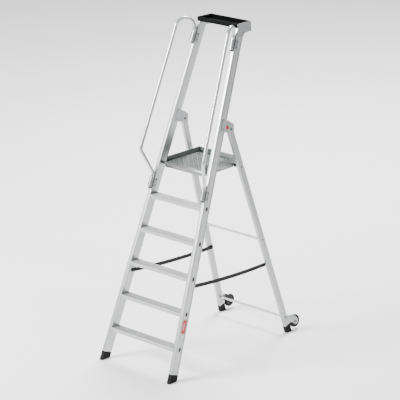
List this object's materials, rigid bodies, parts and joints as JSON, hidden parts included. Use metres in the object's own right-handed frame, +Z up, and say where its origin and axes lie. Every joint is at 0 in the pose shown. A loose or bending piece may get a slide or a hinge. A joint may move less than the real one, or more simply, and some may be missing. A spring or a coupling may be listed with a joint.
{
  "type": "mobile ladder stand",
  "caption": "Leaning step ladder with a fold-up standing platform, folding rear frame on wheels, handrails at both sides and a tool tray on top.",
  "frame": {"origin": "centre of the footprint's bounding box, on the floor", "axes": "+Z up, +Y towards the wheels at the back, the user climbs from the -Y side, +X to the climber's right"},
  "size_m": [0.7082, 1.4888, 2.4772],
  "materials": {
    "aluminium": "satin",
    "deck_aluminium": "matt, ribbed",
    "black_plastic": "moulded",
    "rubber": "matt",
    "zinc_steel": "zinc plated",
    "clamp_steel": "grey coated",
    "red_plastic": "moulded",
    "webbing": "woven"
  },
  "bodies": {
    "front_frame": {"stile_left": "aluminium", "stile_right": "aluminium", "tread_1": "aluminium", "tread_2": "aluminium", "tread_3": "aluminium", "tread_4": "aluminium", "tread_5": "aluminium", "tread_plugs": "black_plastic", "foot_front_left": "rubber", "foot_front_right": "rubber", "hinge_plate_left_inner": "aluminium", "hinge_plate_left_outer": "aluminium", "hinge_plate_right_inner": "aluminium", "hinge_plate_right_outer": "aluminium", "hinge_pin_left": "zinc_steel", "hinge_pin_right": "zinc_steel", "hinge_caps": "red_plastic", "hinge_rivets": "zinc_steel", "handrail_left": "aluminium", "handrail_right": "aluminium", "rail_sleeves": "aluminium", "rail_clamps_left": "clamp_steel", "rail_clamps_right": "clamp_steel", "clamp_bolts": "zinc_steel", "rail_end_caps": "black_plastic", "tray": "black_plastic", "tray_bracket_left": "aluminium", "tray_bracket_right": "aluminium", "tray_rivets": "zinc_steel", "platform_spacers": "black_plastic", "platform_pivot_bolts": "zinc_steel", "strap_anchors_front": "black_plastic", "label": "red_plastic", "strap_left": "webbing", "strap_right": "webbing"},
    "rear_frame": {"leg_left": "aluminium", "leg_right": "aluminium", "cross_tube_top": "aluminium", "cross_tube_middle": "aluminium", "cross_tube_low": "aluminium", "tube_bolts": "zinc_steel", "tube_collars": "black_plastic", "foot_rear_left": "rubber", "foot_rear_right": "rubber", "wheel_bracket_left": "aluminium", "wheel_bracket_right": "aluminium", "axle_left": "zinc_steel", "axle_right": "zinc_steel", "strap_anchors_rear": "black_plastic"},
    "wheel_left": {"tyre_left": "rubber", "hub_left": "black_plastic"},
    "wheel_right": {"tyre_right": "rubber", "hub_right": "black_plastic"},
    "platform": {"deck": "deck_aluminium", "fascia": "aluminium", "toe_board_left": "deck_aluminium", "toe_board_right": "deck_aluminium", "toe_board_rear": "deck_aluminium", "saddles": "black_plastic"}
  },
  "joints": [
    {"name": "rear_fold", "type": "hinge", "parent": "front_frame", "child": "rear_frame", "pos_m": [0, 0.04607, 1.71414], "axis": [-1, 0, 0], "range_deg": [0, 38], "deforming": ["strap_left", "strap_right"]},
    {"name": "platform_tilt", "type": "hinge", "parent": "front_frame", "child": "platform", "pos_m": [0, -0.18321, 1.426], "axis": [1, 0, 0], "range_deg": [0, 68.4]},
    {"name": "wheel_spin_left", "type": "hinge", "parent": "rear_frame", "child": "wheel_left", "pos_m": [-0.33353, 0.69431, 0.06803], "axis": [0.9981, 0.0194, -0.0584], "continuous": true},
    {"name": "wheel_spin_right", "type": "hinge", "parent": "rear_frame", "child": "wheel_right", "pos_m": [0.33353, 0.69431, 0.06803], "axis": [0.9981, -0.0194, 0.0584], "continuous": true}
  ],
  "couplings": [
    {"joint": "platform_tilt", "follows": "rear_fold", "ratio": 1.8}
  ]
}
